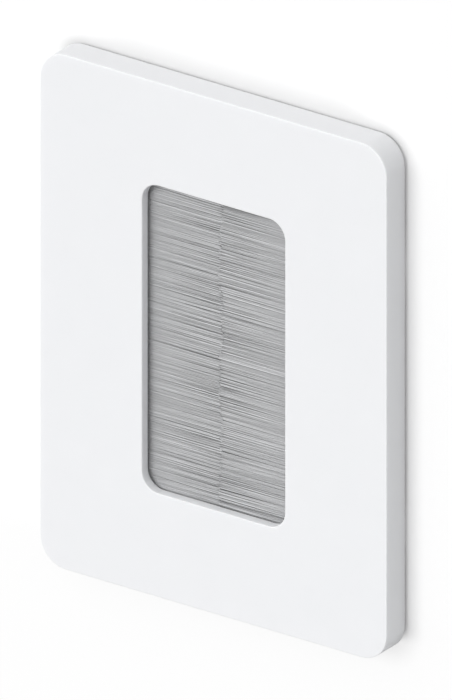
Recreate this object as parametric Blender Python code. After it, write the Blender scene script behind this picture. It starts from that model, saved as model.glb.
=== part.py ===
"""Cable pass-through wall plate, modelled as its separate pieces.

A clip-on cover hides a sub-plate and a steel mounting strap. The strap holds two facing brush strips,
whose bristles close the opening and let a cable through.
X runs to the right, Z up, and the plate faces -Y. The origin is the plate's centre on the wall's face.
"""

import random
from math import acos, cos, pi, radians, sin, tan

import bmesh
import bpy
from mathutils import Matrix, Vector

MM = 0.001

# Clearances
SEAT_GAP = 0.3 * MM
CUT_OVERRUN = 2.0 * MM
JOIN_OVERLAP = 0.6 * MM

# Cover plate
FACE_WIDTH = 82.3 * MM
FACE_HEIGHT = 110.4 * MM
FACE_CORNER_RADIUS = 6.0 * MM
FACE_EDGE_RADIUS = 0.12 * MM
COVER_HEAD_ROOM = 0.7 * MM
COVER_WALL_GAP = 0.55 * MM
FACE_THICKNESS = 1.6 * MM
COVER_SIDE_THICKNESS = 1.8 * MM
OPENING_WIDTH = 34.0 * MM
OPENING_END_MARGIN = 22.2 * MM
OPENING_CORNER_RADIUS = 3.9 * MM
OPENING_EDGE_RADIUS = 0.2 * MM
OPENING_LIP_DEPTH = 2.0 * MM
OPENING_LIP_WIDTH = 1.2 * MM
RIB_WIDTH = 1.0 * MM
RIB_HEIGHT = 0.8 * MM
RIB_COLUMN_SPACING = 60.0 * MM
RIB_ROW_TO_PLATE_SCREW = 4.4 * MM
RIB_END_CLEARANCE = 3.0 * MM
HOOK_WIDTH = 8.0 * MM
HOOK_CATCH = 0.9 * MM
HOOK_TIP_THICKNESS = 0.5 * MM
HOOK_RIM_SETBACK = 0.1 * MM
SIDE_HOOK_SPACING = 56.0 * MM
PRY_SLOT_WIDTH = 7.0 * MM
PRY_SLOT_DEPTH = 0.8 * MM

# Sub-plate
SUB_PLATE_SIDE_CLEARANCE = 0.6 * MM
PANEL_THICKNESS = 1.4 * MM
SKIRT_THICKNESS = 1.3 * MM
LEDGE_THICKNESS = 0.9 * MM
HOOK_NOTCH_CLEARANCE = 0.6 * MM
PANEL_WINDOW_CLEARANCE = 1.0 * MM
PANEL_WINDOW_RADIUS = 2.0 * MM
PANEL_LIP_WIDTH = 1.0 * MM
PANEL_LIP_HEIGHT = 0.6 * MM
SCREW_HEAD_CLEARANCE = 0.5 * MM

# Mounting strap
STRAP_THICKNESS = 1.2 * MM
STRAP_SIDE_MARGIN = 2.6 * MM
STRAP_TAB_MARGIN = 0.9 * MM
STRAP_EAR_WIDTH = 36.0 * MM
STRAP_CORNER_RADIUS = 3.0 * MM
STRAP_END_CLEARANCE = 0.4 * MM
STRAP_WINDOW_MARGIN = 0.6 * MM
STRAP_WINDOW_RADIUS = 3.0 * MM
FLANGE_DEPTH = 6.0 * MM
FLANGE_BEND_RADIUS = 0.8 * MM
FLANGE_END_SETBACK = 3.0 * MM
FLANGE_RELIEF = 0.6 * MM
BOX_SLOT_PLAY = 4.5 * MM
PLATE_SCREW_END_MARGIN = 6.8 * MM

# Brush strips
CHANNEL_MOUTH_SETBACK = 1.4 * MM
CHANNEL_WIDTH = 5.0 * MM
CHANNEL_SHEET = 0.5 * MM
CHANNEL_BEND_RADIUS = 0.4 * MM
CHANNEL_OVERHANG = 1.6 * MM
TAB_LENGTH = 5.0 * MM
BRISTLE_GRIP_GAP = 0.15 * MM
BRISTLE_END_SETBACK = 0.2 * MM
BRISTLE_PITCH = 0.75 * MM
BRISTLE_RIDGE_HEIGHT = 0.25 * MM
BRISTLE_FLARE = 0.22 * MM
TIP_GAP = 0.3 * MM
TIP_STAGGER = 0.5 * MM
TIP_NOTCH = 0.4 * MM
SEAM_WAVE = 0.45 * MM
SEAM_WAVE_LENGTH = 24.0 * MM
CORE_WIRE_DIAMETER = 0.8 * MM
CORE_WIRE_GAP = 0.15 * MM
CORE_WIRE_SETBACK = 1.5 * MM

# Screws and washers
BOX_SCREW_HEAD_DIAMETER = 6.8 * MM
BOX_SCREW_HEAD_HEIGHT = 1.8 * MM
BOX_SCREW_SHANK_DIAMETER = 3.4 * MM
BOX_SCREW_LENGTH = 25.0 * MM
PLATE_SCREW_HEAD_DIAMETER = 5.8 * MM
PLATE_SCREW_HEAD_HEIGHT = 1.4 * MM
PLATE_SCREW_SHANK_DIAMETER = 3.4 * MM
PLATE_SCREW_LENGTH = 4.5 * MM
BRUSH_SCREW_HEAD_DIAMETER = 4.2 * MM
BRUSH_SCREW_HEAD_HEIGHT = 1.3 * MM
BRUSH_SCREW_SHANK_DIAMETER = 2.3 * MM
BRUSH_SCREW_LENGTH = 3.4 * MM
SCREW_HEAD_SPACING = 0.45 * MM
HEAD_UNDERSIDE_GAP = 0.2 * MM
THREAD_GAP = 0.2 * MM
SHANK_HOLE_CLEARANCE = 0.35 * MM
WASHER_DIAMETER = 9.0 * MM
WASHER_THICKNESS = 0.8 * MM
WASHER_SEAT_GAP = 0.2 * MM
DRIVE_SLOT_WIDTH = 1.0 * MM
CROSS_SLOT_WIDTH = 0.7 * MM

# Sizes that follow from the ones above
OPENING_HEIGHT = FACE_HEIGHT - 2 * OPENING_END_MARGIN
PLATE_SCREW_SPACING = FACE_HEIGHT - 2 * PLATE_SCREW_END_MARGIN
BOX_SCREW_SPACING = (
    PLATE_SCREW_SPACING - PLATE_SCREW_HEAD_DIAMETER - BOX_SCREW_HEAD_DIAMETER - 2 * SCREW_HEAD_SPACING
)
RIB_ROW_SPACING = PLATE_SCREW_SPACING - 2 * RIB_ROW_TO_PLATE_SCREW
STRAP_BODY_WIDTH = OPENING_WIDTH + 2 * (CHANNEL_MOUTH_SETBACK + CHANNEL_WIDTH + STRAP_SIDE_MARGIN)
STRAP_BODY_HEIGHT = OPENING_HEIGHT + 2 * (CHANNEL_OVERHANG + TAB_LENGTH + STRAP_TAB_MARGIN)
COVER_DEPTH = (
    STRAP_THICKNESS
    + SEAT_GAP
    + PANEL_THICKNESS
    + HEAD_UNDERSIDE_GAP
    + PLATE_SCREW_HEAD_HEIGHT
    + COVER_HEAD_ROOM
    + FACE_THICKNESS
    - COVER_WALL_GAP
)

# Shares of the sizes they follow
HEAD_EDGE_SHARE = 0.35
DRIVE_DEPTH_SHARE = 0.45
CROSS_LENGTH_SHARE = 0.62
SHANK_CHAMFER_SHARE = 0.3
SEAM_WAVE_SHARES = ((1.0, 0.6), (0.37, 0.3), (0.13, 0.1))

# Roundness
CORNER_SEGMENTS = 12
EDGE_SEGMENTS = 3
BEND_SEGMENTS = 6
SMALL_CORNER_SEGMENTS = 6
HEAD_SEGMENTS = 20
WIRE_SEGMENTS = 12
SMOOTH_ANGLE = radians(32)
MERGE_DISTANCE = 0.001 * MM
TIP_SEED = 7

# Planes, from the wall towards the front
face_y = -(COVER_WALL_GAP + COVER_DEPTH)
cover_rim_y = -COVER_WALL_GAP
cover_inside_y = face_y + FACE_THICKNESS
lip_back_y = face_y + OPENING_LIP_DEPTH
strap_front_y = -STRAP_THICKNESS
panel_back_y = strap_front_y - SEAT_GAP
panel_front_y = panel_back_y - PANEL_THICKNESS
ledge_back_y = panel_front_y + LEDGE_THICKNESS
channel_front_y = cover_inside_y + SEAT_GAP
channel_back_y = strap_front_y - SEAT_GAP
tab_front_y = channel_back_y - CHANNEL_SHEET
brush_middle_y = (channel_front_y + channel_back_y) / 2

# Half sizes and places that several pieces share
cover_inside_half = (
    FACE_WIDTH / 2 - COVER_SIDE_THICKNESS,
    FACE_HEIGHT / 2 - COVER_SIDE_THICKNESS,
)
sub_plate_half = tuple(side - SUB_PLATE_SIDE_CLEARANCE for side in cover_inside_half)
skirt_inside_half = tuple(side - SKIRT_THICKNESS for side in sub_plate_half)
cover_inside_radius = FACE_CORNER_RADIUS - COVER_SIDE_THICKNESS
sub_plate_radius = cover_inside_radius - SUB_PLATE_SIDE_CLEARANCE
mouth_x = OPENING_WIDTH / 2 + CHANNEL_MOUTH_SETBACK
channel_outer_x = mouth_x + CHANNEL_WIDTH
channel_half_length = OPENING_HEIGHT / 2 + CHANNEL_OVERHANG
tab_end_z = channel_half_length + TAB_LENGTH
tab_hole_x = mouth_x + CHANNEL_WIDTH / 2
tab_hole_z = channel_half_length + TAB_LENGTH / 2
panel_window_half = (
    channel_outer_x + PANEL_WINDOW_CLEARANCE,
    tab_end_z + PANEL_WINDOW_CLEARANCE,
)
strap_window_half = (
    OPENING_WIDTH / 2 + STRAP_WINDOW_MARGIN,
    OPENING_HEIGHT / 2 + STRAP_WINDOW_MARGIN,
)
box_screw_z = BOX_SCREW_SPACING / 2
plate_screw_z = PLATE_SCREW_SPACING / 2


def clear_scene():
    for obj in list(bpy.data.objects):
        bpy.data.objects.remove(obj, do_unlink=True)


def material(name, colour, roughness, metallic=0.0):
    made = bpy.data.materials.new(name)
    made.use_nodes = True
    shader = made.node_tree.nodes["Principled BSDF"]
    shader.inputs["Base Color"].default_value = (*colour, 1.0)
    shader.inputs["Roughness"].default_value = roughness
    shader.inputs["Metallic"].default_value = metallic
    made.diffuse_color = (*colour, 1.0)
    return made


def finished_object(name, mesh_builder, finish=None):
    """An object from a bmesh, with outward faces and smooth shading up to the sharp edges."""
    bmesh.ops.recalc_face_normals(mesh_builder, faces=mesh_builder.faces)
    mesh = bpy.data.meshes.new(name)
    mesh_builder.to_mesh(mesh)
    mesh_builder.free()
    mesh.shade_smooth()
    mesh.set_sharp_from_angle(angle=SMOOTH_ANGLE)
    if finish:
        mesh.materials.append(finish)
    obj = bpy.data.objects.new(name, mesh)
    bpy.context.scene.collection.objects.link(obj)
    return obj


def combine(obj, tool, operation):
    """Cuts obj with a hidden tool, or joins the tool to it."""
    tool.hide_render = True
    tool.display_type = "WIRE"
    modifier = obj.modifiers.new(f"{operation.title()} {tool.name}", "BOOLEAN")
    modifier.operation = operation
    modifier.solver = "EXACT"
    modifier.object = tool


def cut(obj, *tools):
    for tool in tools:
        combine(obj, tool, "DIFFERENCE")


def join(obj, *tools):
    for tool in tools:
        combine(obj, tool, "UNION")


def arc(centre, radius, start, end, segments):
    """Points (u, v) along an arc, ends included."""
    return [
        (
            centre[0] + radius * cos(start + (end - start) * step / segments),
            centre[1] + radius * sin(start + (end - start) * step / segments),
        )
        for step in range(segments + 1)
    ]


def rounded_rectangle(half_width, half_height, radius, segments=SMALL_CORNER_SEGMENTS):
    """Points (x, z) anticlockwise from the right side's top, with every corner an arc."""
    corners = ((1, 1, 0), (-1, 1, pi / 2), (-1, -1, pi), (1, -1, 3 * pi / 2))
    points = []
    for side_x, side_z, start in corners:
        centre = (side_x * (half_width - radius), side_z * (half_height - radius))
        points += arc(centre, radius, start, start + pi / 2, segments)
    return points


def filleted(corners, radius, segments=SMALL_CORNER_SEGMENTS):
    """A closed outline whose corners, inner and outer, are all arcs of one radius."""
    points = []
    for index, corner in enumerate(corners):
        here = Vector(corner)
        towards_last = (Vector(corners[index - 1]) - here).normalized()
        towards_next = (Vector(corners[(index + 1) % len(corners)]) - here).normalized()
        half_angle = acos(max(-1.0, min(1.0, towards_last.dot(towards_next)))) / 2
        reach = radius / tan(half_angle)
        centre = here + (towards_last + towards_next).normalized() * radius / sin(half_angle)
        first = here + towards_last * reach - centre
        last = here + towards_next * reach - centre
        turn = first.angle_signed(last)
        for step in range(segments + 1):
            point = centre + Matrix.Rotation(-turn * step / segments, 2) @ first
            points.append((point.x, point.y))
    return points


def prism(name, outline, low, high, axis="Y", finish=None):
    """An outline extruded between two planes: (x, z) points along Y, or (x, y) points along Z."""
    builder = bmesh.new()

    def place(u, v):
        return (u, low, v) if axis == "Y" else (u, v, low)

    corners = [builder.verts.new(place(u, v)) for u, v in outline]
    face = builder.faces.new(corners)
    travel = Vector((0, high - low, 0) if axis == "Y" else (0, 0, high - low))
    grown = bmesh.ops.extrude_face_region(builder, geom=[face])["geom"]
    moved = [item for item in grown if isinstance(item, bmesh.types.BMVert)]
    bmesh.ops.translate(builder, verts=moved, vec=travel)
    return finished_object(name, builder, finish)


def block(name, low, high):
    """A plain box between two corners."""
    outline = ((low[0], low[2]), (high[0], low[2]), (high[0], high[2]), (low[0], high[2]))
    return prism(name, outline, low[1], high[1])


def turned(name, profile, place, finish=None, segments=HEAD_SEGMENTS):
    """A closed (radius, y) profile that starts and ends on the axis, spun round Y at a place (x, z)."""
    builder = bmesh.new()
    start = [builder.verts.new((radius, y, 0)) for radius, y in profile]
    edges = [builder.edges.new(pair) for pair in zip(start, start[1:])]
    bmesh.ops.spin(
        builder,
        geom=start + edges,
        cent=(0, 0, 0),
        axis=(0, 1, 0),
        angle=2 * pi,
        steps=segments,
        use_merge=True,
    )
    bmesh.ops.remove_doubles(builder, verts=builder.verts, dist=MERGE_DISTANCE)
    bmesh.ops.translate(builder, verts=builder.verts, vec=(place[0], 0, place[1]))
    return finished_object(name, builder, finish)


def ring_solid(name, rings, finish, segments=SMALL_CORNER_SEGMENTS):
    """A closed section swept round the plate: each ring is (half width, half height, radius, y)."""
    builder = bmesh.new()
    loops = []
    for half_width, half_height, radius, y in rings:
        points = rounded_rectangle(half_width, half_height, radius, segments)
        loops.append([builder.verts.new((x, y, z)) for x, z in points])
    for loop, following in zip(loops, loops[1:] + loops[:1]):
        for index in range(len(loop)):
            after = (index + 1) % len(loop)
            builder.faces.new((loop[index], loop[after], following[after], following[index]))
    return finished_object(name, builder, finish)


def inset_ring(half_width, half_height, radius, y, inset=0.0):
    return (half_width - inset, half_height - inset, radius - inset, y)


def edge_rings(half_width, half_height, radius, y, edge_radius, opening):
    """Rings that round the front edge of an outer side, or of an opening, from the side to the face."""
    rings = []
    for step in range(EDGE_SEGMENTS + 1):
        angle = pi / 2 * step / EDGE_SEGMENTS
        inset = edge_radius * (1 - cos(angle))
        height = edge_radius * (1 - sin(angle))
        rings.append(
            inset_ring(half_width, half_height, radius, y + height, -inset if opening else inset)
        )
    return rings


def cover_plate(finish):
    outer = (FACE_WIDTH / 2, FACE_HEIGHT / 2, FACE_CORNER_RADIUS)
    opening = (OPENING_WIDTH / 2, OPENING_HEIGHT / 2, OPENING_CORNER_RADIUS)
    inside = (*cover_inside_half, cover_inside_radius)
    rings = [(*outer, cover_rim_y)]
    rings += edge_rings(*outer, face_y, FACE_EDGE_RADIUS, opening=False)
    rings += reversed(edge_rings(*opening, face_y, OPENING_EDGE_RADIUS, opening=True))
    rings += [
        (*opening, lip_back_y),
        inset_ring(*opening, lip_back_y, -OPENING_LIP_WIDTH),
        inset_ring(*opening, cover_inside_y, -OPENING_LIP_WIDTH),
        (*inside, cover_inside_y),
        (*inside, cover_rim_y),
    ]
    cover = ring_solid("cover_plate", rings, finish, CORNER_SEGMENTS)
    join(cover, *cover_ribs(), *cover_hooks())
    cut(cover, pry_slot())
    return cover


def cover_ribs():
    low_y = cover_inside_y - JOIN_OVERLAP
    high_y = cover_inside_y + RIB_HEIGHT
    column_end = cover_inside_half[1] - RIB_END_CLEARANCE
    row_end = cover_inside_half[0] - RIB_END_CLEARANCE
    half = RIB_WIDTH / 2
    ribs = []
    for side in (-1, 1):
        x = side * RIB_COLUMN_SPACING / 2
        z = side * RIB_ROW_SPACING / 2
        ribs.append(
            block(f"rib_column_{side}", (x - half, low_y, -column_end), (x + half, high_y, column_end))
        )
        ribs.append(block(f"rib_row_{side}", (-row_end, low_y, z - half), (row_end, high_y, z + half)))
    return ribs


def hook_places():
    """Each hook as (inner wall's distance from the centre, place along the wall, turn about Y)."""
    side, end = cover_inside_half
    along = SIDE_HOOK_SPACING / 2
    return (
        (side, along, 0.0),
        (side, -along, 0.0),
        (side, along, pi),
        (side, -along, pi),
        (end, 0.0, pi / 2),
        (end, 0.0, -pi / 2),
    )


def cover_hooks():
    front = ledge_back_y + SEAT_GAP
    back = cover_rim_y - HOOK_RIM_SETBACK
    hooks = []
    for number, (wall, along, turn) in enumerate(hook_places(), 1):
        tip = wall - SUB_PLATE_SIDE_CLEARANCE - HOOK_CATCH
        section = (
            (wall + JOIN_OVERLAP, front),
            (tip, front),
            (tip, front + HOOK_TIP_THICKNESS),
            (wall, back),
            (wall + JOIN_OVERLAP, back),
        )
        hook = prism(
            f"snap_hook_{number}", section, along - HOOK_WIDTH / 2, along + HOOK_WIDTH / 2, axis="Z"
        )
        hook.data.transform(Matrix.Rotation(turn, 4, "Y"))
        hooks.append(hook)
    return hooks


def pry_slot():
    bottom = -FACE_HEIGHT / 2
    return block(
        "pry_slot_cutter",
        (-PRY_SLOT_WIDTH / 2, cover_rim_y - PRY_SLOT_DEPTH, bottom - CUT_OVERRUN),
        (PRY_SLOT_WIDTH / 2, cover_rim_y + CUT_OVERRUN, bottom + COVER_SIDE_THICKNESS + CUT_OVERRUN),
    )


def sub_plate(finish):
    outer = (*sub_plate_half, sub_plate_radius)
    window = (*panel_window_half, PANEL_WINDOW_RADIUS)
    lip_front = panel_front_y - PANEL_LIP_HEIGHT
    rings = [
        (*outer, 0.0),
        (*outer, panel_front_y),
        inset_ring(*window, panel_front_y, -PANEL_LIP_WIDTH),
        inset_ring(*window, lip_front, -PANEL_LIP_WIDTH),
        (*window, lip_front),
        (*window, panel_back_y),
        inset_ring(*outer, panel_back_y, SKIRT_THICKNESS),
        inset_ring(*outer, 0.0, SKIRT_THICKNESS),
    ]
    plate = ring_solid("sub_plate", rings, finish)
    cut(plate, *hook_notches())
    for side in (-1, 1):
        cut(plate, head_notch(side))
        cut(
            plate,
            hole_cutter(
                f"sub_plate_hole_{side}",
                PLATE_SCREW_SHANK_DIAMETER / 2 + SHANK_HOLE_CLEARANCE,
                (0.0, side * plate_screw_z),
            ),
        )
    return plate


def hook_notches():
    """Pockets in the skirt, open to the back, that leave a ledge for each snap hook."""
    notches = []
    half = HOOK_WIDTH / 2 + HOOK_NOTCH_CLEARANCE
    for number, (wall, along, turn) in enumerate(hook_places(), 1):
        edge = wall - SUB_PLATE_SIDE_CLEARANCE
        notch = block(
            f"hook_notch_{number}",
            (edge - HOOK_CATCH - HOOK_NOTCH_CLEARANCE, ledge_back_y, along - half),
            (edge + CUT_OVERRUN, CUT_OVERRUN, along + half),
        )
        notch.data.transform(Matrix.Rotation(turn, 4, "Y"))
        notches.append(notch)
    return notches


def head_notch(side):
    """Room for a box screw's head, open to the panel's window."""
    radius = BOX_SCREW_HEAD_DIAMETER / 2 + SCREW_HEAD_CLEARANCE
    outline = arc((0.0, box_screw_z), radius, 0.0, pi, HEAD_SEGMENTS // 2)
    outline += [(-radius, panel_window_half[1] - CUT_OVERRUN), (radius, panel_window_half[1] - CUT_OVERRUN)]
    outline = [(x, side * z) for x, z in outline]
    low = panel_front_y - PANEL_LIP_HEIGHT - CUT_OVERRUN
    return prism(f"head_notch_{side}", outline, low, CUT_OVERRUN)


def hole_cutter(name, radius, place, low=None):
    """A round cutter along Y through everything near the wall."""
    low = panel_front_y - CUT_OVERRUN if low is None else low
    profile = ((0.0, low), (radius, low), (radius, CUT_OVERRUN), (0.0, CUT_OVERRUN))
    return turned(name, profile, place)


def mounting_strap(finish):
    body_x, body_z = STRAP_BODY_WIDTH / 2, STRAP_BODY_HEIGHT / 2
    ear_x = STRAP_EAR_WIDTH / 2
    ear_z = skirt_inside_half[1] - STRAP_END_CLEARANCE
    quarter = ((body_x, body_z), (ear_x, body_z), (ear_x, ear_z))
    corners = list(quarter)
    corners += [(-x, z) for x, z in reversed(quarter)]
    corners += [(-x, -z) for x, z in quarter]
    corners += [(x, -z) for x, z in reversed(quarter)]
    corner_radius = min(STRAP_CORNER_RADIUS, (body_x - ear_x) / 2)
    strap = prism("mounting_strap", filleted(corners, corner_radius), strap_front_y, 0.0, finish=finish)
    cut(strap, strap_window())
    for side in (-1, 1):
        cut(strap, flange_relief(side), box_screw_slot(side))
        cut(
            strap,
            hole_cutter(
                f"strap_plate_hole_{side}",
                PLATE_SCREW_SHANK_DIAMETER / 2 + THREAD_GAP,
                (0.0, side * plate_screw_z),
            ),
        )
        for end in (-1, 1):
            cut(
                strap,
                hole_cutter(
                    f"strap_brush_hole_{side}_{end}",
                    BRUSH_SCREW_SHANK_DIAMETER / 2 + THREAD_GAP,
                    (side * tab_hole_x, end * tab_hole_z),
                ),
            )
        join(strap, window_flange(side))
    return strap


def strap_window():
    outline = rounded_rectangle(*strap_window_half, STRAP_WINDOW_RADIUS)
    return prism("strap_window_cutter", outline, strap_front_y - CUT_OVERRUN, CUT_OVERRUN)


def flange_half_length():
    return strap_window_half[1] - FLANGE_END_SETBACK


def flange_bend_x():
    """Where the strap's flat ends and the bend into a window flange begins."""
    return strap_window_half[0] + STRAP_THICKNESS + FLANGE_BEND_RADIUS


def flange_relief(side):
    """Clears the strap's edge where a flange bends back, and a little past its ends."""
    half = flange_half_length() + FLANGE_RELIEF
    inner, outer = strap_window_half[0] - CUT_OVERRUN, flange_bend_x()
    low_x, high_x = sorted((side * inner, side * outer))
    return block(
        f"flange_relief_{side}",
        (low_x, strap_front_y - CUT_OVERRUN, -half),
        (high_x, CUT_OVERRUN, half),
    )


def window_flange(side):
    """The long edge of the window folded back into the wall box, with a rounded bend."""
    bend_x = flange_bend_x()
    inner_x = strap_window_half[0]
    centre = (bend_x, FLANGE_BEND_RADIUS)
    outline = [(bend_x + JOIN_OVERLAP, strap_front_y)]
    outline += arc(centre, STRAP_THICKNESS + FLANGE_BEND_RADIUS, -pi / 2, -pi, BEND_SEGMENTS)
    outline += [(inner_x, FLANGE_DEPTH), (inner_x + STRAP_THICKNESS, FLANGE_DEPTH)]
    outline += arc(centre, FLANGE_BEND_RADIUS, pi, 3 * pi / 2, BEND_SEGMENTS)
    outline += [(bend_x + JOIN_OVERLAP, 0.0)]
    outline = [(side * x, y) for x, y in outline]
    half = flange_half_length()
    return prism(f"window_flange_{side}", outline, -half, half, axis="Z")


def box_screw_slot(side):
    """An obround across the ear, so the plate can be levelled before its screw is tightened."""
    radius = BOX_SCREW_SHANK_DIAMETER / 2 + SHANK_HOLE_CLEARANCE
    centre_z = side * box_screw_z
    half_play = BOX_SLOT_PLAY / 2
    outline = arc((half_play, centre_z), radius, -pi / 2, pi / 2, HEAD_SEGMENTS // 2)
    outline += arc((-half_play, centre_z), radius, pi / 2, 3 * pi / 2, HEAD_SEGMENTS // 2)
    return prism(f"box_screw_slot_{side}", outline, strap_front_y - CUT_OVERRUN, CUT_OVERRUN)


def brush_channel(name, side, finish):
    """A strip folded to a U that opens towards the middle, its back wall left long as end tabs."""
    sheet, bend = CHANNEL_SHEET, CHANNEL_BEND_RADIUS
    front, back = channel_front_y, channel_back_y
    bend_x = channel_outer_x - sheet - bend
    outline = [(mouth_x, front), (bend_x, front)]
    outline += arc((bend_x, front + sheet + bend), sheet + bend, -pi / 2, 0.0, BEND_SEGMENTS)[1:]
    outline += arc((bend_x, back - sheet - bend), sheet + bend, 0.0, pi / 2, BEND_SEGMENTS)
    outline += [(mouth_x, back), (mouth_x, back - sheet)]
    outline += arc((bend_x, back - sheet - bend), bend, pi / 2, 0.0, BEND_SEGMENTS)
    outline += arc((bend_x, front + sheet + bend), bend, 0.0, -pi / 2, BEND_SEGMENTS)
    outline += [(mouth_x, front + sheet)]
    outline = [(side * x, y) for x, y in outline]
    channel = prism(name, outline, -tab_end_z, tab_end_z, axis="Z", finish=finish)
    low_x, high_x = sorted((side * (mouth_x - CUT_OVERRUN), side * (channel_outer_x + CUT_OVERRUN)))
    for end in (-1, 1):
        low_z, high_z = sorted((end * channel_half_length, end * (tab_end_z + CUT_OVERRUN)))
        tab_cutter = block(
            f"{name}_tab_cutter_{end}",
            (low_x, front - CUT_OVERRUN, low_z),
            (high_x, tab_front_y, high_z),
        )
        hole = hole_cutter(
            f"{name}_hole_{end}",
            BRUSH_SCREW_SHANK_DIAMETER / 2 + SHANK_HOLE_CLEARANCE,
            (side * tab_hole_x, end * tab_hole_z),
        )
        cut(channel, tab_cutter, hole)
    return channel


def core_wire_place(side):
    x = side * (channel_outer_x - CHANNEL_SHEET - BRISTLE_GRIP_GAP - CORE_WIRE_SETBACK)
    return x, brush_middle_y


def bristle_half_length():
    return channel_half_length - BRISTLE_END_SETBACK


def wire_outline(side, radius):
    x, y = core_wire_place(side)
    return arc((x, y), radius, 0.0, 2 * pi, WIRE_SEGMENTS)[:-1]


def core_wire(name, side, finish):
    half = bristle_half_length()
    return prism(name, wire_outline(side, CORE_WIRE_DIAMETER / 2), -half, half, axis="Z", finish=finish)


def tuft_count():
    return max(2, round(2 * bristle_half_length() / BRISTLE_PITCH))


def seam_line():
    """Points (x, z) where the two rows meet: a wandering line whose teeth are the tufts' uneven tips."""
    draw = random.Random(TIP_SEED)
    half_length = bristle_half_length()
    line = []
    for step in range(2 * tuft_count() + 1):
        z = half_length * (step / tuft_count() - 1)
        wave = sum(
            height * sin(2 * pi * z / (SEAM_WAVE_LENGTH * length)) for length, height in SEAM_WAVE_SHARES
        )
        tooth = TIP_NOTCH / 2 if step % 2 else -TIP_NOTCH / 2
        line.append((SEAM_WAVE * wave + tooth + TIP_STAGGER * (draw.random() - 1 / 2), z))
    return line


def bristle_row(name, side, finish):
    """A row of tufts as one ridged body, folded round the core wire and fanning out to uneven tips."""
    half_thickness = (channel_back_y - channel_front_y) / 2 - CHANNEL_SHEET - BRISTLE_GRIP_GAP
    fold_x = channel_outer_x - CHANNEL_SHEET - BRISTLE_GRIP_GAP
    crest_parity = 1 if side < 0 else 0
    columns = []
    for step, (seam_x, z) in enumerate(seam_line()):
        groove = 0.0 if step % 2 == crest_parity else BRISTLE_RIDGE_HEIGHT
        stations = (
            (side * fold_x, half_thickness),
            (side * mouth_x, half_thickness - groove),
            (seam_x + side * TIP_GAP / 2, half_thickness + BRISTLE_FLARE - groove),
        )
        columns.append([(x, reach, z) for x, reach in stations])
    builder = bmesh.new()
    rims = []
    for column in columns:
        front = [builder.verts.new((x, brush_middle_y - reach, z)) for x, reach, z in column]
        back = [builder.verts.new((x, brush_middle_y + reach, z)) for x, reach, z in column]
        rims.append(front + back[::-1])
    for rim, following in zip(rims, rims[1:]):
        for index in range(len(rim)):
            after = (index + 1) % len(rim)
            builder.faces.new((rim[index], rim[after], following[after], following[index]))
    builder.faces.new(rims[0])
    builder.faces.new(rims[-1])
    row = finished_object(name, builder, finish)
    bore_end = bristle_half_length() + CUT_OVERRUN
    bore = prism(
        f"{name}_wire_bore",
        wire_outline(side, CORE_WIRE_DIAMETER / 2 + CORE_WIRE_GAP),
        -bore_end,
        bore_end,
        axis="Z",
    )
    cut(row, bore)
    return row


def screw(name, place, seat_y, head, shank, finish, cross=False):
    """A pan-head screw whose head seats on the plane seat_y; head and shank are (diameter, length)."""
    head_radius, head_height = head[0] / 2, head[1]
    shank_radius, shank_length = shank[0] / 2, shank[1]
    under = seat_y - HEAD_UNDERSIDE_GAP
    top = under - head_height
    edge = head_height * HEAD_EDGE_SHARE
    chamfer = shank_radius * SHANK_CHAMFER_SHARE
    profile = [(0.0, top)]
    profile += arc((head_radius - edge, top + edge), edge, -pi / 2, 0.0, EDGE_SEGMENTS)
    profile += [
        (head_radius, under),
        (shank_radius, under),
        (shank_radius, under + shank_length - chamfer),
        (shank_radius - chamfer, under + shank_length),
        (0.0, under + shank_length),
    ]
    made = turned(name, profile, place, finish)
    depth = head_height * DRIVE_DEPTH_SHARE
    if cross:
        slots = ((head_radius * CROSS_LENGTH_SHARE, CROSS_SLOT_WIDTH / 2),)
        slots += ((CROSS_SLOT_WIDTH / 2, head_radius * CROSS_LENGTH_SHARE),)
    else:
        slots = ((DRIVE_SLOT_WIDTH / 2, head_radius + CUT_OVERRUN),)
    for number, (half_x, half_z) in enumerate(slots):
        cut(
            made,
            block(
                f"{name}_slot_{number}",
                (place[0] - half_x, top - CUT_OVERRUN, place[1] - half_z),
                (place[0] + half_x, top + depth, place[1] + half_z),
            ),
        )
    return made


def washer(name, side, finish):
    """A fibre washer behind the ear, gripping the box screw's shank."""
    outer = WASHER_DIAMETER / 2
    inner = BOX_SCREW_SHANK_DIAMETER / 2 + THREAD_GAP
    low, high = WASHER_SEAT_GAP, WASHER_SEAT_GAP + WASHER_THICKNESS
    centre_z = side * box_screw_z
    made = prism(name, arc((0.0, centre_z), outer, 0.0, 2 * pi, HEAD_SEGMENTS)[:-1], low, high, finish=finish)
    bore = prism(
        f"{name}_bore",
        arc((0.0, centre_z), inner, 0.0, 2 * pi, HEAD_SEGMENTS)[:-1],
        low - CUT_OVERRUN,
        high + CUT_OVERRUN,
    )
    cut(made, bore)
    return made


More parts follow.
